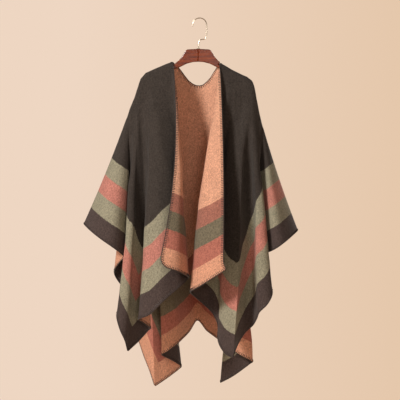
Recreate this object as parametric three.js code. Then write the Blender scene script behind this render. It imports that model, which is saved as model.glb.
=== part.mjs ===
// Open-front blanket poncho hung over a wooden clothes hanger.
// Millimetres, +Z up. The front faces -Y. The origin is the inside top of the hook,
// where the hanger hangs on a rail.
import * as THREE from 'three';

// Cloth: one rectangle, 1200 wide and 1500 long, slit from the front hem to its centre. Its side
// edges hang 681 in front of the ridge and 819 behind it.
const WALL = 2.0;             // double cloth
const WALL_AT_RIDGE = 1.0;    // pressed thin where it turns over the hanger's arms
const SEAM = 0.3;             // gap between the stretches of cloth at the shoulder ridge
const CAP = 9;                // how far the cloth stands off the ridge, over the hanger arm
const CAP_RUN = 14;           // length of cloth that turns over the arm
const CLOSED_UNTIL = 0.04;    // share of the drop, from the ridge, that has no folds
const FRONT_OPEN = 0.44;      // share of the drop in which the front's folds grow out of the shoulder
const BACK_OPEN = 0.54;       // and the back's
const COLUMNS_PER_FOLD_SIDE = 2;
const COMB = 8;               // fold lines on each side over which the shoulder evens out the cloth
const EVEN = 7;               // columns over which the wall's direction is evened out up there
const LEVELS = [0, 0.0025, 0.008, 0.021, 0.08, 0.16, 0.25, 0.36, 0.5, 0.66, 0.83, 1];

// Hanger: two halves of wood and one bent wire.
const WOOD = 12;              // thickness, front to back
const WOOD_UNDER = 4.1;       // ridge of the cloth's middle down to the wood's flat top
const WIRE = 1.6;             // radius of the hook wire
const HOOK_RADIUS = 22;       // centre line of the hook's bend

// Top line of the cloth: the ridge over the left arm, the neck edge, the ridge over the right arm.
const TOP = [
  { x: -229, z: -316, back: 0 }, { x: -217, z: -282, back: 0 }, { x: -202, z: -246, back: 0 },
  { x: -191, z: -212, back: 0 }, { x: -184, z: -190, back: 0 }, { x: -168, z: -171, back: 0 },
  { x: -125, z: -152, back: 0 }, { x: -84, z: -137, back: 0 }, { x: -81.5, z: -140, back: 10 },
  { x: -62, z: -158, back: 28 }, { x: -36, z: -191, back: 46 }, { x: -12, z: -206, back: 53 },
  { x: 10, z: -205, back: 53 }, { x: 34, z: -184, back: 44 }, { x: 52, z: -157, back: 27 },
  { x: 60.5, z: -144, back: 10 }, { x: 63, z: -141, back: 0 },
  { x: 105, z: -163, back: 0 }, { x: 148, z: -183, back: 0 }, { x: 164, z: -196, back: 0 },
  { x: 171, z: -216, back: 0 }, { x: 177, z: -250, back: 0 }, { x: 187, z: -300, back: 0 },
  { x: 199, z: -345, back: 0 },
];
const NECK_LEFT = -84;
const NECK_RIGHT = 63;
const BACK_MIDDLE = -10;

// One row for each fold line: where it leaves the top line (top), where it reaches the cloth's
// edge (x, y, z), how far it bows sideways on the way (bow), and a mark on the cloth's corners.
const COLUMNS = ['top', 'x', 'y', 'z', 'bow', 'corner'];
const FRONT_LEFT = [
  [-229, -361, 0, -641, 4, 0],      // sleeve tip
  [-227, -338, -60, -660, 2, 0],
  [-225, -303, -98, -686, 0, 0],
  [-222, -262, -108, -714, 0, 0],
  [-219.5, -234, -74, -740, 4, 0],  // turns in behind the first fold
  [-217.5, -247, -56, -758, 3, 0],
  [-216, -261, -38, -777, 2, 0],
  [-214.5, -265, -16, -798, 1, 0],
  [-213, -246, -4, -830, 2, 0],
  [-211, -216, -34, -864, 4, 0],
  [-208.5, -226, -80, -893, 8, 0],
  [-206, -253, -118, -913, 10, 0],  // first fold
  [-203, -243, -142, -958, 9, 0],
  [-199, -227, -143, -994, 8, 0],
  [-195, -219, -128, -1028, 4, 1],  // front corner
  [-188, -188, -92, -1000, 0, 0],
  [-182, -160, -62, -970, 0, 0],    // valley
  [-177, -152, -74, -962, 0, 0],
  [-171, -168, -104, -946, 4, 0],
  [-165, -186, -126, -931, 10, 0],  // second fold
  [-159, -174, -152, -924, 6, 0],
  [-151, -149, -166, -911, 3, 0],
  [-138, -108, -168, -871, 2, 0],
  [-120, -62, -140, -832, 2, 0],
  [-98, -40, -104, -811, 4, 0],     // lapel turns out
  [-93, -34, -112, -803, 5, 0],
  [-90, -42, -152, -795, 8, 0],
  [-87, -70, -192, -780, 18, 0],
  [-84, -122, -202, -764, 27, 0],   // slit edge
];
const FRONT_RIGHT = [
  [199, 306, 0, -661, -4, 0],       // sleeve tip
  [197.5, 283, -62, -679, -3, 0],
  [196, 251, -104, -703, -2, 0],
  [194, 222, -88, -722, 0, 0],
  [192, 178, -14, -744, 0, 0],      // turns in behind the outer fold
  [190, 168, -34, -758, 0, 0],
  [188, 186, -84, -796, 0, 0],
  [184, 221, -124, -841, -4, 0],    // outer fold
  [177, 213, -148, -880, 0, 0],
  [168, 193, -150, -907, 0, 0],
  [157, 181, -118, -932, 2, 0],
  [148, 168, -90, -952, 2, 0],      // valley
  [139, 148, -90, -976, 2, 0],
  [131, 122, -126, -1010, 3, 0],
  [124, 101, -162, -1045, 4, 1],    // front corner
  [112, 76, -140, -1032, 4, 0],
  [98, 57, -104, -1000, 2, 0],
  [87, 58, -62, -962, 0, 0],        // valley under the lapel
  [81, 44, -46, -922, 0, 0],
  [77, 14, -60, -890, 0, 0],
  [73, -14, -86, -864, -4, 0],
  [69, -28, -124, -848, -12, 0],    // lapel turns out
  [67, -14, -168, -836, -8, 0],
  [65, 24, -198, -812, 0, 0],
  [63, 70, -206, -782, 6, 0],       // slit edge
];
const BACK = [
  [-229, -361, 0, -641, 4, 0],      // left sleeve tip
  [-227, -340, 58, -656, 2, 0],
  [-225, -306, 96, -680, 0, 0],
  [-222, -264, 106, -706, 0, 0],
  [-219.5, -236, 78, -738, 2, 0],
  [-217.5, -246, 58, -762, 2, 0],
  [-216, -258, 38, -786, 0, 0],
  [-214, -248, 18, -816, 0, 0],
  [-211, -212, 44, -866, 2, 0],
  [-208.5, -216, 92, -904, 4, 0],
  [-206, -227, 122, -934, 6, 0],
  [-202, -218, 136, -964, 6, 0],
  [-197, -200, 126, -1002, 2, 0],
  [-190, -181, 98, -1050, 0, 0],
  [-184, -158, 66, -1106, 0, 0],
  [-178, -141, 48, -1153, 0, 1],    // left corner
  [-170, -104, 70, -1130, 0, 0],
  [-161, -66, 94, -1103, 0, 0],     // turns forward again
  [-155, -60, 80, -1092, 0, 0],
  [-148, -88, 46, -1070, 0, 0],
  [-140, -118, 14, -1052, 0, 0],
  [-131, -104, 8, -1042, 0, 0],
  [-118, -76, 26, -1022, 0, 0],
  [-98, -54, 60, -1004, 0, 0],
  [-60, -32, 100, -984, 0, 0],
  [-10, -7, 128, -950, 0, 0],       // middle of the back
  [34, 22, 100, -981, 0, 0],
  [66, 52, 60, -1001, 0, 0],
  [92, 88, 34, -1026, 0, 0],
  [109, 128, 20, -1053, 0, 0],
  [122, 164, 24, -1073, 0, 0],      // turns back
  [132, 158, 42, -1082, 0, 0],
  [143, 106, 70, -1123, 0, 0],
  [151, 67, 84, -1145, 0, 0],       // turns once more
  [156, 78, 104, -1140, 0, 0],
  [161, 108, 122, -1124, 0, 1],     // right corner
  [166, 128, 136, -1062, 0, 0],
  [173, 150, 144, -990, 0, 0],
  [180, 180, 150, -926, 0, 0],
  [184, 204, 146, -884, 0, 0],
  [187, 214, 124, -846, 0, 0],
  [189, 186, 84, -796, 0, 0],
  [190.5, 168, 36, -758, 0, 0],
  [192, 178, 14, -744, 0, 0],
  [194, 222, 88, -720, 0, 0],
  [196, 254, 98, -698, -2, 0],
  [197.5, 285, 58, -676, -3, 0],
  [199, 306, 0, -661, -4, 0],       // right sleeve tip
];

const named = (table) => table.map((row) => Object.fromEntries(COLUMNS.map((name, i) => [name, row[i]])));

// Smooth curve through four values, with the share s between the middle two.
function through(a, b, c, d, s) {
  const m1 = (c - a) / 2;
  const m2 = (d - b) / 2;
  const s2 = s * s;
  const s3 = s2 * s;
  return (2 * s3 - 3 * s2 + 1) * b + (s3 - 2 * s2 + s) * m1 + (3 * s2 - 2 * s3) * c + (s3 - s2) * m2;
}

// Point of the top line at a given x.
function topPoint(x) {
  let i = 0;
  while (i < TOP.length - 2 && x > TOP[i + 1].x) i += 1;
  const at = (k) => TOP[Math.min(Math.max(k, 0), TOP.length - 1)];
  const s = (x - TOP[i].x) / (TOP[i + 1].x - TOP[i].x);
  return new THREE.Vector3(x, THREE.MathUtils.lerp(TOP[i].back, TOP[i + 1].back, s),
    through(at(i - 1).z, at(i).z, at(i + 1).z, at(i + 2).z, s));
}

// Columns of the cloth between its fold lines, with soft rounded turns.
function columns(rows) {
  const out = [];
  for (let i = 0; i < rows.length - 1; i += 1) {
    const b = rows[i];
    const c = rows[i + 1];
    // The cloth leaves its ridge square to it, and a corner of the cloth stays sharp.
    const mirror = (p, q) => ({ ...q, y: -q.y, top: p.top });
    const straight = (p, q) => ({ ...p, x: 2 * p.x - q.x, y: 2 * p.y - q.y, z: 2 * p.z - q.z, bow: p.bow });
    let a = rows[i - 1];
    if (!a) a = Math.abs(b.y) < 1 ? mirror(b, c) : straight(b, c);
    else if (b.corner) a = straight(b, c);
    let d = rows[i + 2];
    if (!d) d = Math.abs(c.y) < 1 ? mirror(c, b) : straight(c, b);
    else if (c.corner) d = straight(c, b);
    for (let k = 0; k < COLUMNS_PER_FOLD_SIDE; k += 1) {
      const s = k / COLUMNS_PER_FOLD_SIDE;
      const mix = (name) => through(a[name], b[name], c[name], d[name], s);
      out.push({ top: THREE.MathUtils.lerp(b.top, c.top, s), x: mix('x'), y: mix('y'), z: mix('z'),
        bow: mix('bow') });
    }
  }
  out.push({ ...rows[rows.length - 1] });
  return out;
}

// Edge of the cloth with its folds combed out: the shape that the cloth takes at the shoulder.
function combed(cols) {
  const reach = COMB * COLUMNS_PER_FOLD_SIDE;
  const last = cols.length - 1;
  return cols.map((col, i) => {
    const r = Math.min(reach, i, last - i);
    const sum = { x: 0, y: 0, z: 0 };
    let weight = 0;
    for (let k = -r; k <= r; k += 1) {
      const w = 1 + Math.cos((Math.PI * k) / (r + 1));
      sum.x += w * cols[i + k].x;
      sum.y += w * cols[i + k].y;
      sum.z += w * cols[i + k].z;
      weight += w;
    }
    return { x: sum.x / weight, y: sum.y / weight, z: sum.z / weight };
  });
}

// The grid of points on the middle of the cloth. side is -1 for the front and 1 for the back.
function drape(table, side) {
  const cols = columns(named(table));
  const plain = combed(cols);
  return cols.map((col, i) => {
    const start = topPoint(col.top);
    const length = Math.hypot(col.x - start.x, col.y - start.y, col.z - start.z);
    const onRidge = start.y < 1 ? 1 : Math.max(0, 1 - start.y / 20);
    const stand = CAP * onRidge * THREE.MathUtils.smoothstep(Math.min(i, 16), 0, 16)
      * (side > 0 ? THREE.MathUtils.smoothstep(Math.min(cols.length - 1 - i, 16), 0, 16) : 1);
    return LEVELS.map((w) => {
      const grown = THREE.MathUtils.smoothstep(w, CLOSED_UNTIL, side < 0 ? FRONT_OPEN : BACK_OPEN);
      const end = new THREE.Vector3(
        THREE.MathUtils.lerp(plain[i].x, col.x, grown),
        THREE.MathUtils.lerp(plain[i].y, col.y, grown),
        THREE.MathUtils.lerp(plain[i].z, col.z, grown));
      const p = start.clone().lerp(end, w);
      p.x += col.bow * 4 * w * (1 - w);
      const d = w * length;
      const turned = d < CAP_RUN ? Math.sqrt(1 - (1 - d / CAP_RUN) ** 2) : 1 - (d - CAP_RUN) / length;
      p.y += side * (stand * turned + SEAM / 2 + 0.1);
      return p;
    });
  });
}

// A closed wall around a grid of points, kept on its own side of the shoulder ridge. It takes the
// columns from first to last, and stands back from a neighbour in the same grid by half a seam.
function wall(grid, thickness, side, first = 0, last = grid.length - 1) {
  const nv = grid[0].length;
  const end = grid.length - 1;
  const positions = [];
  const du = new THREE.Vector3();
  const dv = new THREE.Vector3();
  const normals = grid.map((column, i) => column.map((point, j) => {
    du.subVectors(grid[Math.min(i + 1, end)][j], grid[Math.max(i - 1, 0)][j]);
    dv.subVectors(column[Math.min(j + 1, nv - 1)], column[Math.max(j - 1, 0)]);
    return du.clone().cross(dv).normalize();
  }));
  // Near the shoulder, where the folds are still small ripples, the wall ignores them.
  const square = (i, j) => {
    const reach = Math.round(EVEN * (1 - THREE.MathUtils.smoothstep(LEVELS[j], 0.12, 0.5)));
    const sum = new THREE.Vector3();
    for (let k = -reach; k <= reach; k += 1) sum.add(normals[Math.min(Math.max(i + k, 0), end)][j]);
    return sum.normalize();
  };
  for (const face of [1, -1]) {
    for (let i = first; i <= last; i += 1) {
      for (let j = 0; j < nv; j += 1) {
        const full = THREE.MathUtils.smoothstep(LEVELS[j], 0, 0.42);
        const half = THREE.MathUtils.lerp(WALL_AT_RIDGE, thickness, full) / 2;
        const p = grid[i][j].clone().addScaledVector(square(i, j), face * half);
        if (i === first && first > 0) p.x += SEAM / 2;
        if (i === last && last < end) p.x -= SEAM / 2;
        positions.push(p.x, side * Math.max(side * p.y, SEAM / 2), p.z);
      }
    }
  }
  const nu = last - first + 1;
  const at = (face, i, j) => face * nu * nv + i * nv + j;
  const index = [];
  const quad = (a, b, c, d) => index.push(a, b, c, a, c, d);
  for (let i = 0; i < nu - 1; i += 1) {
    for (let j = 0; j < nv - 1; j += 1) {
      quad(at(0, i, j), at(0, i + 1, j), at(0, i + 1, j + 1), at(0, i, j + 1));
      quad(at(1, i, j), at(1, i, j + 1), at(1, i + 1, j + 1), at(1, i + 1, j));
    }
    quad(at(0, i, 0), at(1, i, 0), at(1, i + 1, 0), at(0, i + 1, 0));
    quad(at(0, i, nv - 1), at(0, i + 1, nv - 1), at(1, i + 1, nv - 1), at(1, i, nv - 1));
  }
  for (let j = 0; j < nv - 1; j += 1) {
    quad(at(0, 0, j), at(0, 0, j + 1), at(1, 0, j + 1), at(1, 0, j));
    quad(at(0, nu - 1, j), at(1, nu - 1, j), at(1, nu - 1, j + 1), at(0, nu - 1, j + 1));
  }
  const geometry = new THREE.BufferGeometry();
  geometry.setAttribute('position', new THREE.Float32BufferAttribute(positions, 3));
  geometry.setIndex(outward(positions, index));
  geometry.computeVertexNormals();
  return geometry;
}

// Turns all faces out when the body's signed volume comes out negative.
function outward(positions, index) {
  let volume = 0;
  const v = (k) => new THREE.Vector3(positions[3 * k], positions[3 * k + 1], positions[3 * k + 2]);
  for (let t = 0; t < index.length; t += 3) {
    volume += v(index[t]).dot(v(index[t + 1]).cross(v(index[t + 2])));
  }
  if (volume >= 0) return index;
  const turned = [];
  for (let t = 0; t < index.length; t += 3) turned.push(index[t], index[t + 2], index[t + 1]);
  return turned;
}

const cloth = new THREE.MeshStandardMaterial({ color: 0x3f3a38, roughness: 0.95, metalness: 0 });
const wood = new THREE.MeshStandardMaterial({ color: 0x6e3218, roughness: 0.35, metalness: 0 });
const metal = new THREE.MeshStandardMaterial({ color: 0xcfc4b4, roughness: 0.3, metalness: 1 });

const group = new THREE.Group();
function add(name, geometry, material, x = 0, y = 0, z = 0) {
  const mesh = new THREE.Mesh(geometry, material.clone());
  mesh.name = name;
  mesh.position.set(x, y, z);
  group.add(mesh);
  return mesh;
}

// The cloth, in four stretches that part along the shoulder ridge and down the middle of the back.
const backColumns = drape(BACK, 1);
const middle = COLUMNS_PER_FOLD_SIDE * BACK.findIndex((row) => row[0] === BACK_MIDDLE);
add('front_left', wall(drape(FRONT_LEFT, -1), WALL, -1), cloth);
add('front_right', wall(drape(FRONT_RIGHT, -1), WALL, -1), cloth);
add('back_left', wall(backColumns, WALL, 1, 0, middle), cloth);
add('back_right', wall(backColumns, WALL, 1, middle, backColumns.length - 1), cloth);

// Half of the hanger's body: flat top by the joint, hollowed shoulder, arm under the cloth.
const JOINT = -4;             // x of the upright joint between the halves
function hangerHalf(side) {
  const reach = side < 0 ? JOINT - (-182) : 161 - JOINT;
  const neck = side < 0 ? NECK_LEFT : NECK_RIGHT;
  const px = (x) => JOINT + side * x;
  const below = (x, gap) => topPoint(x).z - gap;
  const outline = [
    [px(0.15), -95],
    [px(34), -97],
    [px(40), -101],
    [px(45), -109],
    [px(53), -122],
    [px(62), -132],
    [px(68), -136.5],
    [neck - side * 4, -144],
  ];
  for (let x = neck + side * 5; side * (px(reach - 8) - x) > 0; x += side * 9) {
    outline.push([x, below(x, WOOD_UNDER)]);
  }
  outline.push(
    [px(reach - 6), below(px(reach - 6), 4.5)],
    [px(reach), below(px(reach - 2), 15)],
    [px(reach - 1), below(px(reach - 2), 24)],
    [px(reach - 8), below(px(reach - 2), 30)],
    [px(reach - 40), below(px(reach - 40), 34)],
    [px(105), below(px(105), 30)],
    [px(82), -160],
    [px(58), -152],
    [px(36), -141],
    [px(16), -136],
    [px(0.15), -135],
  );
  const edge = 2.2;
  const shape = new THREE.Shape(outline.map(([x, z]) => new THREE.Vector2(x, z)));
  const geometry = new THREE.ExtrudeGeometry(shape, {
    depth: WOOD - 2 * edge, steps: 1, bevelEnabled: true, bevelThickness: edge, bevelSize: edge,
    bevelOffset: -edge, bevelSegments: 2,
  });
  geometry.rotateX(Math.PI / 2);
  geometry.translate(0, WOOD / 2 - edge, 0);
  return geometry;
}
add('hanger_left', hangerHalf(-1), wood);
add('hanger_right', hangerHalf(1), wood);

// Hook: stem, jog to the right, half round bend, open at the left.
const bend = [];
for (let a = 0; a <= 190; a += 19) {
  const t = THREE.MathUtils.degToRad(a);
  bend.push(new THREE.Vector3(HOOK_RADIUS * Math.cos(t), 0, WIRE - HOOK_RADIUS + HOOK_RADIUS * Math.sin(t)));
}
const hookLine = [
  new THREE.Vector3(-4, 0, -94.6),
  new THREE.Vector3(-3.5, 0, -84),
  new THREE.Vector3(-1.5, 0, -72),
  new THREE.Vector3(4, 0, -66),
  new THREE.Vector3(15, 0, -64.5),
  new THREE.Vector3(20, 0, -58),
  new THREE.Vector3(22, 0, -42),
  ...bend,
];
const hookPath = new THREE.CatmullRomCurve3(hookLine, false, 'centripetal');
const wireSection = new THREE.Shape();
wireSection.absarc(0, 0, WIRE, 0, Math.PI * 2, false);
const hookGeometry = new THREE.ExtrudeGeometry(wireSection, {
  steps: 40, curveSegments: 5, bevelEnabled: false, extrudePath: hookPath,
});
add('hook', hookGeometry, metal);

// Ferrule round the foot of the hook.
const ferrule = new THREE.LatheGeometry([
  new THREE.Vector2(WIRE + 0.35, 0),
  new THREE.Vector2(4.4, 0),
  new THREE.Vector2(4.4, 1.2),
  new THREE.Vector2(3, 2.6),
  new THREE.Vector2(WIRE + 0.35, 2.6),
  new THREE.Vector2(WIRE + 0.35, 0),
], 20);
ferrule.rotateX(Math.PI / 2);
add('ferrule', ferrule, metal, -4, 0, -94.7);

export default group;
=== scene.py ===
import math

import bpy
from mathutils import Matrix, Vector, noise


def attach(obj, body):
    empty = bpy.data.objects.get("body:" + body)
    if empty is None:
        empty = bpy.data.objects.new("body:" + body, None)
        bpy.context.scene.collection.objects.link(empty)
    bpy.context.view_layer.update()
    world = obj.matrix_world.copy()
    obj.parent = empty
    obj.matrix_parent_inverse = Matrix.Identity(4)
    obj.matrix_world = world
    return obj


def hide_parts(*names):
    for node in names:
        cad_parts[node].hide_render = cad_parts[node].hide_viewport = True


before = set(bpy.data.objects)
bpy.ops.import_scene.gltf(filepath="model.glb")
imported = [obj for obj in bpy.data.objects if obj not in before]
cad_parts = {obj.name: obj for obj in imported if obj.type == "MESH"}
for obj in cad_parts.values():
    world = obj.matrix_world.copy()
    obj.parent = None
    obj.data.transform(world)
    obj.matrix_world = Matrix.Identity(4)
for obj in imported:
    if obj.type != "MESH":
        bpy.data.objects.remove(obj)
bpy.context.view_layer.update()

for thing in bpy.context.selected_objects:
    thing.select_set(False)


# THE BLANKET
# One rectangle of thick double-faced cloth, 1.2 m wide and 1.5 m long, slit from the front hem to
# its centre and folded over the hanger. Charcoal with olive and dusty pink bands outside, salmon
# inside. It hangs in the folds that these rows give, in millimetres, one row for each fold line:
# where it leaves the top line, where it reaches the cloth's edge, how far it bows on the way.
MM = 0.001
CLOTH_WIDTH = 1200
CLOTH_LENGTH = 1500
FRONT_DROP = 681          # shoulder ridge to front hem
NECK_DROP = 634           # shoulder point of the neck to front hem
SLIT = 750
THICK = 2.2
CAP = 9                   # half width of the turn over the hanger's arm
CAP_RUN = 14
CLOSED_UNTIL = 0.04       # share of the way down where the folds begin to open
FRONT_OPEN, BACK_OPEN = 0.44, 0.54
COMB = 16                 # half columns on each side that are evened out at the shoulder
FINE = 4                  # columns of the mesh for each fold row
NEAR = 0.35               # a column this close to a row moves on to it
NECK_LEFT, NECK_RIGHT = -84, 63
NECK_DEPTH = 53           # how far the neck's edge dips behind the ridge
OFF_THE_ARM = 20          # so far behind it the cloth no longer turns over the arm
NECK_RUN = 142            # along the ridge from the neck until it follows the threads

# x, z and distance behind the ridge of the line that the cloth hangs from
TOP_LINE = [
    (-229, -316, 0), (-217, -282, 0), (-202, -246, 0), (-191, -212, 0), (-184, -190, 0),
    (-168, -171, 0), (-125, -152, 0), (-84, -137, 0), (-81.5, -140, 10), (-62, -158, 28),
    (-36, -191, 46), (-12, -206, 53), (10, -205, 53), (34, -184, 44), (52, -157, 27),
    (60.5, -144, 10), (63, -141, 0), (105, -163, 0), (148, -183, 0), (164, -196, 0),
    (171, -216, 0), (177, -250, 0), (187, -300, 0), (199, -345, 0),
]
# top, x, y, z, bow, corner
FRONT_LEFT = [
    (-229, -361, 0, -641, 4, 0), (-227, -338, -60, -660, 2, 0), (-225, -303, -98, -686, 0, 0),
    (-222, -262, -108, -714, 0, 0), (-219.5, -234, -74, -740, 4, 0), (-217.5, -247, -56, -758, 3, 0),
    (-216, -261, -38, -777, 2, 0), (-214.5, -265, -16, -798, 1, 0), (-213, -246, -4, -830, 2, 0),
    (-211, -216, -34, -864, 4, 0), (-208.5, -226, -80, -893, 8, 0), (-206, -253, -118, -913, 10, 0),
    (-203, -243, -142, -958, 9, 0), (-199, -227, -143, -994, 8, 0), (-195, -219, -128, -1028, 4, 1),
    (-188, -188, -92, -1000, 0, 0), (-182, -160, -62, -970, 0, 0), (-177, -152, -74, -962, 0, 0),
    (-171, -168, -104, -946, 4, 0), (-165, -186, -126, -931, 10, 0), (-159, -174, -152, -924, 6, 0),
    (-151, -149, -166, -911, 3, 0), (-138, -108, -168, -871, 2, 0), (-120, -62, -140, -832, 2, 0),
    (-98, -40, -104, -811, 4, 0), (-93, -34, -112, -803, 5, 0), (-90, -42, -152, -795, 8, 0),
    (-87, -70, -192, -780, 18, 0), (-84, -122, -202, -764, 27, 0),
]
FRONT_RIGHT = [
    (63, 70, -206, -782, 6, 0), (65, 24, -198, -812, 0, 0), (67, -14, -168, -836, -8, 0),
    (69, -28, -124, -848, -12, 0), (73, -14, -86, -864, -4, 0), (77, 14, -60, -890, 0, 0),
    (81, 44, -46, -922, 0, 0), (87, 58, -62, -962, 0, 0), (98, 57, -104, -1000, 2, 0),
    (112, 76, -140, -1032, 9, 0), (124, 101, -162, -1045, 14, 1), (131, 116, -126, -1010, 12, 0),
    (139, 138, -88, -976, 10, 0), (148, 164, -82, -952, 7, 0), (157, 174, -112, -932, 2, 0),
    (168, 182, -148, -907, -3, 0), (177, 208, -152, -880, -2, 0), (184, 221, -124, -841, -4, 0),
    (188, 186, -84, -796, 0, 0), (190, 168, -34, -758, 0, 0), (192, 178, -14, -744, 0, 0),
    (194, 222, -88, -722, 0, 0), (196, 251, -104, -703, -2, 0), (197.5, 283, -62, -679, -3, 0),
    (199, 306, 0, -661, -4, 0),
]
BACK = [
    (-229, -361, 0, -641, 4, 0), (-227, -340, 58, -656, 2, 0), (-225, -306, 96, -680, 0, 0),
    (-222, -264, 106, -706, 0, 0), (-219.5, -236, 78, -738, 2, 0), (-217.5, -246, 58, -762, 2, 0),
    (-216, -258, 38, -786, 0, 0), (-214, -248, 18, -816, 0, 0), (-211, -212, 44, -866, 2, 0),
    (-208.5, -216, 92, -904, 4, 0), (-206, -227, 122, -934, 6, 0), (-202, -218, 136, -964, 6, 0),
    (-197, -200, 126, -1002, 2, 0), (-190, -181, 98, -1050, 0, 0), (-184, -158, 66, -1106, 0, 0),
    (-178, -141, 48, -1153, 0, 1), (-170, -104, 70, -1130, 0, 0), (-161, -66, 94, -1103, 0, 0),
    (-155, -60, 80, -1092, 0, 0), (-148, -88, 46, -1070, 0, 0), (-140, -118, 14, -1052, 0, 0),
    (-131, -104, 8, -1042, 0, 0), (-118, -76, 26, -1022, 0, 0), (-98, -54, 60, -1004, 0, 0),
    (-60, -32, 100, -984, 0, 0), (-10, -7, 128, -950, 0, 0), (34, 22, 100, -981, 0, 0),
    (66, 52, 60, -1001, 0, 0), (92, 88, 34, -1026, 0, 0), (109, 128, 20, -1053, 0, 0),
    (122, 164, 24, -1073, 0, 0), (132, 158, 42, -1082, 0, 0), (143, 106, 70, -1123, 0, 0),
    (151, 67, 84, -1145, 0, 0), (156, 78, 104, -1140, 0, 0), (161, 108, 122, -1124, 0, 1),
    (166, 128, 136, -1062, 0, 0), (173, 150, 144, -990, 0, 0), (180, 180, 150, -926, 0, 0),
    (184, 204, 146, -884, 0, 0),
    (187, 214, 124, -846, 0, 0), (189, 186, 84, -796, 0, 0), (190.5, 168, 36, -758, 0, 0),
    (192, 178, 14, -744, 0, 0), (194, 222, 88, -720, 0, 0), (196, 254, 98, -698, -2, 0),
    (197.5, 285, 58, -676, -3, 0), (199, 306, 0, -661, -4, 0),
]
MIDDLE_BACK = -10         # top of the row in the middle of the back
# The weave lies skew where a corner pulls it down: under a point of the top line, how far the
# threads halfway down lie nearer the side edge and nearer the hem than on a straight line.
LEFT_SKEW = [(-229, 0, 0), (-219, 0, 0), (-211, -12, 0), (-206, -30, 0), (-200, -24, 0), (-195, -12, 0),
             (-188, -8, 6), (-182, 0, 14), (-177, 0, 22), (-120, 0, 26), (-100, 0, 10), (-84, 0, 0)]
RIGHT_SKEW = [(63, 0, 0), (87, 0, 0), (98, 0, -4), (112, -30, -10), (124, -50, -13), (131, -30, -6),
              (148, 0, 0), (160, 8, 0), (199, 0, 0)]


def ease(x, low, high):
    t = min(max((x - low) / (high - low), 0), 1)
    return t * t * (3 - 2 * t)


def mix(a, b, s):
    return a + (b - a) * s


def between(a, b, c, d, s):
    """Smooth curve through four values, with the share s between the middle two."""
    m1, m2 = (c - a) / 2, (d - b) / 2
    return ((2 * s**3 - 3 * s**2 + 1) * b + (s**3 - 2 * s**2 + s) * m1
            + (3 * s**2 - 2 * s**3) * c + (s**3 - s**2) * m2)


def top_point(x):
    i = 0
    while i < len(TOP_LINE) - 2 and x > TOP_LINE[i + 1][0]:
        i += 1
    z = [TOP_LINE[min(max(k, 0), len(TOP_LINE) - 1)][1] for k in (i - 1, i, i + 1, i + 2)]
    s = (x - TOP_LINE[i][0]) / (TOP_LINE[i + 1][0] - TOP_LINE[i][0])
    return Vector((x, mix(TOP_LINE[i][2], TOP_LINE[i + 1][2], s), between(*z, s)))


def edge_point(rows, top):
    """x, y, z and bow of the cloth's edge under the given point of the top line."""
    i = 0
    while i < len(rows) - 2 and top > rows[i + 1][0]:
        i += 1
    b, c = rows[i], rows[i + 1]

    def mirror(p, q):
        return (p[0], q[1], -q[2], q[3], q[4])

    def straight(p, q):
        return (p[0], 2 * p[1] - q[1], 2 * p[2] - q[2], 2 * p[3] - q[3], p[4])

    def beyond(p, q, other):
        if other is None:
            return mirror(p, q) if abs(p[2]) < 1 else straight(p, q)
        return straight(p, q) if p[5] else other

    a = beyond(b, c, rows[i - 1] if i else None)
    d = beyond(c, b, rows[i + 2] if i + 2 < len(rows) else None)
    s = (top - b[0]) / (c[0] - b[0])
    return [between(a[k], b[k], c[k], d[k], s) for k in (1, 2, 3, 4)]


def combed(rows):
    """The edge with its folds combed out, at two columns a row: the shape at the shoulder."""
    tops = []
    for b, c in zip(rows, rows[1:]):
        tops += [b[0], (b[0] + c[0]) / 2]
    tops.append(rows[-1][0])
    edge = [edge_point(rows, t) for t in tops]
    out = []
    for i in range(len(edge)):
        r = min(COMB, i, len(edge) - 1 - i)
        weights = [1 + math.cos(math.pi * k / (r + 1)) for k in range(-r, r + 1)]
        out.append([sum(w * edge[i + k][axis] for w, k in zip(weights, range(-r, r + 1))) / sum(weights)
                    for axis in range(3)])
    return tops, out


def hang(rows, side, ends, tops, levels):
    """Points of the cloth's middle. ends says at which ends of the table the cloth is a fold."""
    coarse, plain = combed(rows)
    opened = FRONT_OPEN if side < 0 else BACK_OPEN
    columns = []
    for top in tops:
        i = 0
        while i < len(coarse) - 2 and top > coarse[i + 1]:
            i += 1
        s = (top - coarse[i]) / (coarse[i + 1] - coarse[i])
        even = Vector([mix(plain[i][k], plain[i + 1][k], s) for k in range(3)])
        x, y, z, bow = edge_point(rows, top)
        end = Vector((x, y, z))
        start = top_point(top)
        length = (end - start).length
        # the cloth's middle stands off the ridge by this much where it turns over the arm
        stand = CAP * max(0, min(1, 1 - start.y / OFF_THE_ARM)) if start.y >= 1 else CAP
        if ends[0]:
            stand *= ease(i + s, 0, COMB)
        if ends[1]:
            stand *= ease(len(coarse) - 1 - i - s, 0, COMB)
        column = []
        for w in levels:
            p = start.lerp(even.lerp(end, ease(w, CLOSED_UNTIL, opened)), w)
            p.x += bow * 4 * w * (1 - w)
            d = w * length
            turned = math.sqrt(1 - (1 - d / CAP_RUN) ** 2) if d < CAP_RUN else 1 - (d - CAP_RUN) / length
            p.y += side * stand * turned
            column.append(p)
        columns.append(column)
    return columns


def fold_tops(rows, others=()):
    """Where the mesh has its columns, with one on each row of both tables that share the ridge."""
    tops = []
    for b, c in zip(rows, rows[1:]):
        tops += [mix(b[0], c[0], k / FINE) for k in range(FINE)]
    tops.append(rows[-1][0])
    for row in others:
        if rows[0][0] < row[0] < rows[-1][0]:
            near = min(tops, key=lambda t: abs(t - row[0]))
            if abs(near - row[0]) < NEAR:
                if all(abs(near - own[0]) > 0.01 for own in rows):
                    tops[tops.index(near)] = row[0]
            else:
                tops.append(row[0])
    return sorted(tops)


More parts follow.
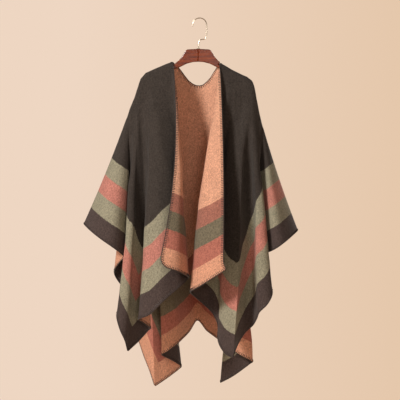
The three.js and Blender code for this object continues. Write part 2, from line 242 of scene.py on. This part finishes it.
# Shares of the way down each line: close together over the hanger's arm, then even to the edge
LEVELS = [0, 0.0012, 0.003, 0.006, 0.01, 0.015, 0.021, 0.032, 0.046]
EVEN_FROM, EVEN_STEPS = 0.062, 46
LEVELS += [EVEN_FROM + 0.938 * k / EVEN_STEPS for k in range(EVEN_STEPS + 1)]
left_tops = fold_tops(FRONT_LEFT, BACK)
right_tops = fold_tops(FRONT_RIGHT, BACK)
neck_tops = fold_tops(BACK, [(x,) for x, z, behind in TOP_LINE if behind])
neck_tops = [t for t in neck_tops if NECK_LEFT < t < NECK_RIGHT]
back_tops = left_tops + neck_tops + right_tops
front_left = hang(FRONT_LEFT, -1, (True, False), left_tops, LEVELS)
front_right = hang(FRONT_RIGHT, -1, (False, True), right_tops, LEVELS)
back = hang(BACK, 1, (True, True), back_tops, LEVELS)


def lengths(points):
    total = [0]
    for a, b in zip(points, points[1:]):
        total.append(total[-1] + (b - a).length)
    return total


def spread(columns, tops, marks):
    """Flat place of the cloth's edge under each column. marks are (top, (u, v)) in order."""
    run = lengths([column[-1] for column in columns])
    place = []
    for (t0, uv0), (t1, uv1) in zip(marks, marks[1:]):
        i0, i1 = tops.index(t0), tops.index(t1)
        for i in range(i0 if not place else i0 + 1, i1 + 1):
            s = (run[i] - run[i0]) / (run[i1] - run[i0])
            place.append((mix(uv0[0], uv1[0], s), mix(uv0[1], uv1[1], s)))
    return place


def top_place(top):
    """Flat place of a point of the top line: across from the centre, and up from the front hem."""
    if NECK_LEFT <= top <= NECK_RIGHT:
        depth = top_point(top).y / NECK_DEPTH
        return 0, mix(NECK_DROP, SLIT, min(depth, 1))
    side, neck = (-1, NECK_LEFT) if top < NECK_LEFT else (1, NECK_RIGHT)
    steps = 24
    line = [top_point(mix(neck, top, k / steps)) for k in range(steps + 1)]
    across = lengths(line)[-1]
    return side * across, mix(NECK_DROP, FRONT_DROP, ease(across, 0, NECK_RUN))


half = CLOTH_WIDTH / 2
left_place = spread(front_left, left_tops, [
    (-229, (-half, FRONT_DROP)), (-195, (-half, 0)), (-84, (0, 0))])
right_place = spread(front_right, right_tops, [
    (63, (0, 0)), (124, (half, 0)), (199, (half, FRONT_DROP))])
back_place = spread(back, back_tops, [
    (-229, (-half, FRONT_DROP)), (-178, (-half, CLOTH_LENGTH)), (MIDDLE_BACK, (0, CLOTH_LENGTH)),
    (161, (half, CLOTH_LENGTH)), (199, (half, FRONT_DROP))])

vertices = []
flat = []
faces = []


def skewed(table, top):
    for a, b in zip(table, table[1:]):
        if a[0] <= top <= b[0]:
            s = ease(top, a[0], b[0])
            return mix(a[1], b[1], s), mix(a[2], b[2], s)
    return 0, 0


def lay(columns, tops, places, outward_front, skew, shared):
    """Adds a stretch of the cloth. shared gives the vertices that it has in common with the rest."""
    grid = []
    for i, column in enumerate(columns):
        u0, v0 = top_place(tops[i])
        across, along = skewed(skew, tops[i])
        across *= -1 if u0 < 0 else 1
        line = []
        for j, p in enumerate(column):
            if (i, j) in shared:
                line.append(shared[i, j])
                continue
            w = LEVELS[j]
            arch = 4 * w * (1 - w)
            line.append(len(vertices))
            vertices.append(p)
            u, v = mix(u0, places[i][0], w), mix(v0, places[i][1], w)
            flat.append((u + across * arch, v - along * arch))
        grid.append(line)
    for i in range(len(grid) - 1):
        for j in range(len(LEVELS) - 1):
            face = (grid[i][j], grid[i][j + 1], grid[i + 1][j + 1], grid[i + 1][j])
            faces.append(face if outward_front else face[::-1])
    return grid


left_grid = lay(front_left, left_tops, left_place, True, LEFT_SKEW, {})
right_grid = lay(front_right, right_tops, right_place, True, RIGHT_SKEW, {})
shared = {(i, 0): line[0] for i, line in enumerate(left_grid)}
first_right = len(back_tops) - len(right_tops)
shared.update({(first_right + i, 0): line[0] for i, line in enumerate(right_grid)})
for j in range(len(LEVELS)):
    shared[0, j] = left_grid[0][j]
    shared[len(back_tops) - 1, j] = right_grid[-1][j]
lay(back, back_tops, back_place, False, [], shared)


def rounded(corner, along_hem, along_slit, side, radius):
    """Cuts a lapel's lower corner round. along_hem and along_slit are vertices near it on its edges."""
    start = vertices[corner].copy()
    # a and b run out from the centre of the curve, and the square corner goes on to a quarter disc
    on_hem = (vertices[along_hem] - start) / abs(flat[along_hem][0])
    on_slit = (vertices[along_slit] - start) / flat[along_slit][1]
    for k, (u, v) in enumerate(flat):
        a, b = radius - side * u, radius - v
        if 0 < a <= radius + 0.001 and 0 < b <= radius + 0.001:
            a1 = a * math.sqrt(1 - b * b / (2 * radius**2))
            b1 = b * math.sqrt(1 - a * a / (2 * radius**2))
            vertices[k] = vertices[k] + on_hem * (a - a1) + on_slit * (b - b1)
            flat[k] = (side * (radius - a1), radius - b1)


LAPEL_RADIUS = 30
rounded(left_grid[-1][-1], left_grid[-5][-1], left_grid[-1][-3], -1, LAPEL_RADIUS)

# Soft creases pressed in, on the flat cloth in millimetres: from across, up, to across, up,
# half width, and height of the ridge on the outside face. Up is measured from the front hem.
CREASES = [
    (-4, 745, -8, 1010, 24, 15), (-8, 1000, -22, 1240, 38, 10), (-95, 860, -150, 1180, 40, -8),
    (110, 830, 170, 1190, 38, -8), (-260, 740, -330, 1180, 46, 8), (290, 750, 380, 1150, 44, 8),
    (-420, 740, -520, 1020, 34, -6), (420, 730, 530, 1000, 34, -6), (60, 1180, 40, 1430, 30, 6),
    (-230, 1230, -180, 1440, 34, -6), (250, 1240, 330, 1420, 32, 6),
    (-46, 560, -60, 250, 18, -6), (-104, 600, -140, 260, 24, 6), (-170, 620, -230, 300, 20, -7),
    (-300, 600, -380, 300, 28, 6), (-440, 640, -560, 500, 22, 5), (-120, 210, -60, 120, 20, 4),
    (40, 520, 52, 200, 18, 5), (82, 620, 104, 300, 18, 8), (124, 620, 150, 300, 18, -7),
    (170, 610, 220, 320, 22, 7), (330, 600, 420, 300, 28, -6), (440, 640, 560, 540, 22, 5),
    (150, 230, 300, 90, 22, 4),
]


def pressed(u, v):
    """How far the cloth stands out at a place of the flat cloth."""
    # slow waves, small dents, and then each crease with a wandering line and soft ends
    out = 1.3 * noise.noise(Vector((u / 70, v / 110, 4)))
    out += 0.8 * noise.noise(Vector((u / 28, v / 60, 9)))
    for u0, v0, u1, v1, width, height in CREASES:
        long = math.hypot(u1 - u0, v1 - v0)
        t = ((u - u0) * (u1 - u0) + (v - v0) * (v1 - v0)) / long**2
        wander = 10 * noise.noise(Vector((v / 120, u0 / 50, 2)))
        off = ((u - u0) * (v1 - v0) - (v - v0) * (u1 - u0)) / long + wander
        fade = ease(t, -0.15, 0.2) * (1 - ease(t, 0.7, 1.15))
        uneven = 0.8 + 0.4 * noise.noise(Vector((v / 60, u1, 1)))
        out += height * fade * math.exp(-(off / width) ** 2) * uneven
    return out * ease(abs(v - FRONT_DROP), 20, 150)


cloth_mesh = bpy.data.meshes.new("blanket")
cloth_mesh.from_pydata([p * MM for p in vertices], [], faces)
cloth_mesh.update()
for vertex, (u, v) in zip(cloth_mesh.vertices, flat):
    vertices[vertex.index] += vertex.normal * pressed(u, v)
for vertex in cloth_mesh.vertices:
    vertex.co = vertices[vertex.index] * MM
cloth_mesh.update()
uv = cloth_mesh.uv_layers.new(name="flat_cloth")
for loop in cloth_mesh.loops:
    u, v = flat[loop.vertex_index]
    uv.data[loop.index].uv = (u * MM, v * MM)
normals = [n.vector.copy() for n in cloth_mesh.vertex_normals]
blanket = bpy.data.objects.new("blanket", cloth_mesh)
bpy.context.collection.objects.link(blanket)


class Strand:
    """A socket of a finish. Sums of strands are written as Python sums."""

    def __init__(self, tree, socket=None):
        self.tree, self.socket = tree, socket

    def node(self, kind, settings, sockets, out=0):
        new = self.tree.nodes.new(kind)
        for name, value in settings.items():
            if name == "stops":
                ramp = new.color_ramp.elements
                while len(ramp) < len(value):
                    ramp.new(0.5)
                for stop, (place, colour) in zip(ramp, value):
                    stop.position, stop.color = place, colour
            else:
                setattr(new, name, value)
        for name, value in sockets.items():
            if isinstance(value, Strand):
                self.tree.links.new(value.socket, new.inputs[name])
            else:
                new.inputs[name].default_value = value
        return Strand(self.tree, new.outputs[out])

    def sum(self, operation, a, b=0.0, clamp=False):
        settings = {"operation": operation, "use_clamp": clamp}
        return self.node("ShaderNodeMath", settings, {0: a, 1: b})

    def __add__(self, other): return self.sum("ADD", self, other)
    def __radd__(self, other): return self.sum("ADD", other, self)
    def __sub__(self, other): return self.sum("SUBTRACT", self, other)
    def __rsub__(self, other): return self.sum("SUBTRACT", other, self)
    def __mul__(self, other): return self.sum("MULTIPLY", self, other)
    def __rmul__(self, other): return self.sum("MULTIPLY", other, self)

    def into(self, socket): self.tree.links.new(self.socket, socket)
    def least(self, other): return self.sum("MINIMUM", self, other)
    def held(self): return self.sum("MULTIPLY", self, 1.0, True)

    def noise(self, at, scale, detail=2.0, rough=0.5):
        return self.node("ShaderNodeTexNoise", {}, {
            "Vector": at, "Scale": scale, "Detail": detail, "Roughness": rough})

    def stretch(self, at, scale):
        return self.node("ShaderNodeMapping", {}, {"Vector": at, "Scale": scale})

    def blend(self, share, a, b, kind="MIX"):
        settings = {"data_type": "RGBA", "blend_type": kind}
        return self.node("ShaderNodeMix", settings, {0: share, 6: a, 7: b}, 2)

    def bump(self, height, distance, strength=1.0):
        sockets = {"Height": height, "Distance": distance, "Strength": strength}
        return self.node("ShaderNodeBump", {}, sockets)


def coat(names, material):
    """Gives nodes of the frame a material in place of their own."""
    for name in names:
        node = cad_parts[name]
        node.data.materials.clear()
        node.data.materials.append(material)


def srgb(r, g, b):
    def line(c):
        c /= 255
        return c / 12.92 if c <= 0.04045 else ((c + 0.055) / 1.055) ** 2.4
    return (line(r), line(g), line(b), 1)


def finish(name, **constants):
    """A new material: its strands, its shader's sockets by name, and the material."""
    material = bpy.data.materials.new(name)
    material.use_nodes = True
    shader = material.node_tree.nodes["Principled BSDF"]
    for socket, value in constants.items():
        shader.inputs[socket.replace("_", " ")].default_value = value
    return Strand(material.node_tree), shader.inputs, material


BAND = 0.0555             # metres across one band
BAND_FUZZ = 0.005         # how far a band's edge wanders
BAND_SHARP = 700          # the change of colour there takes 1/700 m
ROWS, LOOPS = 2513, 1795  # radians a metre: rows 2.5 mm and loops 3.5 mm apart
NAP = 0.0007              # height of the nap, in the finish alone


def double_cloth(name, edge, bands, field):
    """Brushed heathered cloth: a border, three bands and the field, mitred at the corners."""
    s, shader, material = finish(name, Sheen_Weight=0.08, Sheen_Roughness=0.5, Specular_IOR_Level=0.12)
    place = s.node("ShaderNodeUVMap", {"uv_map": "flat_cloth"}, {})
    u = s.node("ShaderNodeSeparateXYZ", {}, {0: place}, 0)
    v = s.node("ShaderNodeSeparateXYZ", {}, {0: place}, 1)
    from_side = CLOTH_WIDTH / 2000 - s.sum("ABSOLUTE", u)
    from_hems = v.least(CLOTH_LENGTH / 1000 - v)
    fuzz = (s.noise(place, 160, 2) - 0.5) * BAND_FUZZ
    from_edge = from_side.least(from_hems) + fuzz
    colour = edge
    for step, tone in enumerate([*bands, field], 1):
        over = ((from_edge - BAND * step) * BAND_SHARP + 0.5).held()
        colour = s.blend(over, colour, tone)
    hung = s.node("ShaderNodeTexCoord", {}, {}, 3)
    fleck = s.noise(s.stretch(hung, (1, 1, 0.6)), 420, 3, 0.6)
    heather = s.noise(s.stretch(hung, (1, 1, 0.8)), 230, 3, 0.8)
    cloud = s.noise(hung, 34, 3, 0.55)
    light = fleck * 0.6 + heather * 2.0 + cloud * 0.3 - 0.42
    shader["Base Color"].default_value = (1, 1, 1, 1)
    tinted = s.blend(1.0, colour, light, "MULTIPLY")
    tinted.into(shader["Base Color"])
    (0.86 + fleck * 0.12).into(shader["Roughness"])
    ribs = s.sum("SINE", v * ROWS) * 0.2 + s.sum("SINE", u * LOOPS) * 0.2
    nap = s.noise(hung, 420, 3, 0.65) * 1.6 + ribs + s.noise(hung, 60, 2) * 1.2
    s.bump(nap, NAP, 0.55).into(shader["Normal"])
    return material


olive = srgb(134, 129, 110)
outside = double_cloth("double_cloth_outside", srgb(68, 57, 54),
                       [olive, srgb(170, 112, 100), olive], srgb(56, 50, 46))
inside = double_cloth("double_cloth_inside", srgb(190, 138, 112),
                      [srgb(158, 98, 84), srgb(104, 96, 79), srgb(146, 96, 82)], srgb(196, 146, 120))
cloth_mesh.materials.append(outside)
cloth_mesh.materials.append(inside)
for polygon in cloth_mesh.polygons:
    polygon.use_smooth = True
wall = blanket.modifiers.new("wall", "SOLIDIFY")
wall.thickness = THICK / 1000
wall.offset = 0
wall.use_rim = True
wall.material_offset = 1
wall.material_offset_rim = 1
bpy.context.view_layer.objects.active = blanket
blanket.select_set(True)
bpy.ops.object.modifier_apply(modifier="wall")
bpy.ops.object.shade_smooth_by_angle(angle=math.radians(60))
blanket.select_set(False)
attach(blanket, "root")
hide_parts("front_left", "front_right", *[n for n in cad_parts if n.startswith("back")])


# THE EDGE YARN
# Charcoal blanket stitch round the whole cloth and its slit: a bead of yarn lies along the edge,
# and short legs run from it over both faces. The legs are shorter on the side edges.
STITCH = 5.6              # millimetres from leg to leg
LEG, SIDE_LEG = 7.0, 4.5
YARN = 0.95               # radius of a leg
BEAD = 1.6

# A side that one face alone has lies on the cloth's edge, which runs round hem, side edges, slit and neck.
sides = {}
for face in faces:
    for a, b in zip(face, face[1:] + face[:1]):
        sides[a, b] = True
follow = {a: b for a, b in sides if (b, a) not in sides}
start = left_grid[-1][-1]
edge = [start]
while follow[edge[-1]] != start:
    edge.append(follow[edge[-1]])
edge.append(start)
edge_run = lengths([vertices[k] for k in edge])
count = round(edge_run[-1] / STITCH)
stations = []
k = 0
for n in range(count):
    at = edge_run[-1] * n / count
    while edge_run[k + 1] < at:
        k += 1
    s = (at - edge_run[k]) / (edge_run[k + 1] - edge_run[k])
    a, b = edge[k], edge[k + 1]
    up = normals[a].lerp(normals[b], s).normalized()
    stations.append([vertices[a].lerp(vertices[b], s), up, mix(flat[a][0], flat[b][0], s)])
for n, station in enumerate(stations):
    along = (stations[(n + 1) % count][0] - stations[n - 1][0]).normalized()
    inward = station[1].cross(along).normalized()
    station += [along, inward]

yarn_points, yarn_faces = [], []


def tube(path, radius, sides, flat_way, closed=False):
    """A tube along path. flat_way gives, for each point, a direction square to the path."""
    base = len(yarn_points)
    n = len(path)
    for i, p in enumerate(path):
        ahead = path[(i + 1) % n] if closed or i < n - 1 else p
        behind = path[i - 1] if closed or i > 0 else p
        along = (ahead - behind).normalized()
        one = flat_way[i]
        one = (one - along * one.dot(along)).normalized()
        two = along.cross(one)
        for q in range(sides):
            turn = 2 * math.pi * q / sides
            yarn_points.append(p + radius * (one * math.cos(turn) + two * math.sin(turn)))
    for i in range(n if closed else n - 1):
        for q in range(sides):
            a, b = base + i * sides, base + (i + 1) % n * sides
            yarn_faces.append((a + q, a + (q + 1) % sides, b + (q + 1) % sides, b + q))
    if not closed:
        yarn_faces.append(tuple(base + q for q in reversed(range(sides))))
        yarn_faces.append(tuple(base + (n - 1) * sides + q for q in range(sides)))


tube([p - inward * 0.5 for p, up, u, along, inward in stations], BEAD, 6,
     [up for p, up, u, along, inward in stations], closed=True)
for n, (p, up, u, along, inward) in enumerate(stations):
    leg = SIDE_LEG if abs(u) > half - 1 else LEG
    leg *= 1 + 0.12 * noise.noise(Vector((n * 0.73, 0, 0)))
    lean = along * (0.5 * noise.noise(Vector((0, n * 0.61, 3))))
    face = THICK / 2
    # in from the edge and out from the cloth's middle: over one face, round the edge, over the other
    path = [(leg, face - 0.2), (leg - 0.8, face + 0.5), (leg * 0.4, face + 0.6), (0.1, face + 0.35),
            (-0.9, 0), (0.1, -face - 0.35), (leg * 0.4, -face - 0.6), (leg - 0.8, -face - 0.5),
            (leg, -face + 0.2)]
    tube([p + inward * d + up * h + lean * d for d, h in path], YARN, 4, [along] * len(path))

yarn_mesh = bpy.data.meshes.new("edge_yarn")
yarn_mesh.from_pydata([p * MM for p in yarn_points], [], yarn_faces)
for polygon in yarn_mesh.polygons:
    polygon.use_smooth = True
edge_yarn = bpy.data.objects.new("edge_yarn", yarn_mesh)
bpy.context.collection.objects.link(edge_yarn)
s, shader, material = finish("edge_yarn", Sheen_Weight=0.2, Specular_IOR_Level=0.15)
place = s.node("ShaderNodeTexCoord", {}, {}, 3)
fibre = s.noise(place, 1400, 3, 0.6)
s.blend(1.0, srgb(60, 50, 46), 0.6 + fibre * 0.7, "MULTIPLY").into(shader["Base Color"])
(0.8 + fibre * 0.15).into(shader["Roughness"])
s.bump(fibre, 0.0004, 0.7).into(shader["Normal"])
yarn_mesh.materials.append(material)
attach(edge_yarn, "root")


# THE HANGER
# Two halves of wood with rounded edges, glued at an upright joint in the middle, stained red-brown
# and varnished to a gloss. The glue shows as a thin dark line round the joint.
s, shader, material = finish("varnished_wood", Coat_Roughness=0.2, Specular_IOR_Level=0.15)
shader["Coat Weight"].default_value = 0.25
place = s.node("ShaderNodeTexCoord", {}, {}, 3)
grain = s.noise(s.stretch(place, (1, 6, 9)), 14, 4, 0.6)
pores = s.noise(s.stretch(place, (1, 8, 14)), 90, 2, 0.6)
stain = s.node("ShaderNodeValToRGB", {"stops": [
    (0.3, srgb(60, 16, 2)), (0.5, srgb(106, 38, 6)), (0.72, srgb(142, 62, 14))]}, {0: grain})
s.blend(1.0, stain, 0.7 + pores * 0.45, "MULTIPLY").into(shader["Base Color"])
(0.22 + pores * 0.2).into(shader["Roughness"])
s.bump(pores, 0.0003, 0.25).into(shader["Normal"])
coat(("hanger_left", "hanger_right"), material)

GLUE = 0.0003             # metres, as thick as the gap
SQUEEZED_OUT = 1.004      # the line stands just proud of the wood
wood = [v.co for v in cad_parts["hanger_left"].data.vertices]
joint = max(p.x for p in wood)
cut = [p.copy() for p in wood if joint - p.x < 0.0001]
middle = sum(cut, Vector()) / len(cut)
rim = []
for corner in sorted(cut, key=lambda c: math.atan2(c.z - middle.z, c.y - middle.y)):
    if not rim or (corner - rim[-1]).length > 0.00005:
        rim.append(corner)
glue_points = []
for across in (0.0, GLUE):
    glue_points += [middle + (c - middle) * SQUEEZED_OUT + Vector((across, 0, 0)) for c in rim]
n = len(rim)
glue_faces = [tuple(reversed(range(n))), tuple(range(n, 2 * n))]
glue_faces += [(k, (k + 1) % n, n + (k + 1) % n, n + k) for k in range(n)]
glue_mesh = bpy.data.meshes.new("glue_line")
glue_mesh.from_pydata(glue_points, [], glue_faces)
glue_line = bpy.data.objects.new("glue_line", glue_mesh)
bpy.context.collection.objects.link(glue_line)
s, shader, material = finish("glue_line", Specular_IOR_Level=0.2)
place = s.node("ShaderNodeTexCoord", {}, {}, 3)
dirt = s.noise(place, 300, 2)
s.blend(1.0, srgb(52, 20, 8), 0.7 + dirt * 0.6, "MULTIPLY").into(shader["Base Color"])
(0.5 + dirt * 0.3).into(shader["Roughness"])
glue_mesh.materials.append(material)
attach(glue_line, "root")


# THE HOOK
# One bent wire of pale nickel with a small pressed ferrule at its foot.
s, shader, material = finish("hook_wire", Metallic=1.0)
place = s.node("ShaderNodeTexCoord", {}, {}, 3)
wear = s.noise(place, 120, 3, 0.6)
s.blend(wear, srgb(196, 180, 158), srgb(226, 214, 196)).into(shader["Base Color"])
(0.2 + wear * 0.18).into(shader["Roughness"])
s.bump(wear, 0.0002, 0.2).into(shader["Normal"])
coat(("hook", "ferrule"), material)


# FLOOR, LIGHT AND CAMERA
# A pale floor well below the hem and a pale backdrop, a little darker to the right: painted shade,
# as the light from the upper left falls off across it. Soft daylight from the upper left, a weaker
# light from the front and one from behind.
AIM = (0, 0, -0.6)        # the middle of the poncho, where the lamps point
SENSOR = 36
DISTANCE = 5.5
VIEW_WIDTH = 1.25         # metres across the picture
VIEW_X, VIEW_Z = 0.00125, -0.5672
FLOOR = -1.5
bpy.ops.mesh.primitive_circle_add(vertices=96, radius=2.4, fill_type="NGON", location=(0, 0, FLOOR))
floor = bpy.context.active_object
floor.name = "floor"
s, shader, material = finish("floor", Roughness=0.9)
shader["Base Color"].default_value = srgb(238, 214, 194)
floor.data.materials.append(material)

world = bpy.data.worlds.new("studio")
bpy.context.scene.world = world
world.use_nodes = True
s = Strand(world.node_tree)
backdrop = world.node_tree.nodes["Background"]
away = s.node("ShaderNodeSeparateXYZ", {}, {0: s.node("ShaderNodeTexCoord", {}, {}, 0)}, 0)
# painted shade: the backdrop's colour darkens to the right, where the light from the left falls off
tone = s.blend((away * 5 + 0.35).held(), srgb(238, 214, 194), srgb(228, 198, 169))
tone.into(backdrop.inputs["Color"])
seen = s.node("ShaderNodeLightPath", {}, {}, 0)
(0.27 + seen * 0.73).into(backdrop.inputs["Strength"])
bpy.context.scene.view_settings.view_transform = "Standard"


def lamp(name, place, size, power, colour):
    light = bpy.data.lights.new(name, "AREA")
    light.shape = "DISK"
    light.size = size
    light.energy = power
    light.color = colour
    holder = bpy.data.objects.new(name, light)
    bpy.context.collection.objects.link(holder)
    holder.location = place
    holder.rotation_euler = (Vector(AIM) - Vector(place)).to_track_quat("-Z", "Y").to_euler()


lamp("window", (-2.8, -3.0, 1.6), 1.0, 215, (1.0, 0.97, 0.93))
lamp("room", (0.7, -4.6, 0.2), 1.6, 36, (1.0, 0.92, 0.84))
lamp("hall", (2.4, 3.4, 0.8), 1.6, 110, (1.0, 0.95, 0.9))

camera = bpy.data.cameras.new("camera")
camera.sensor_width = SENSOR
camera.lens = SENSOR * DISTANCE / VIEW_WIDTH
camera.clip_end = 100
view = bpy.data.objects.new("camera", camera)
bpy.context.collection.objects.link(view)
view.location = (VIEW_X, -DISTANCE, VIEW_Z)
view.rotation_euler = (math.pi / 2, 0, 0)
bpy.context.scene.camera = view
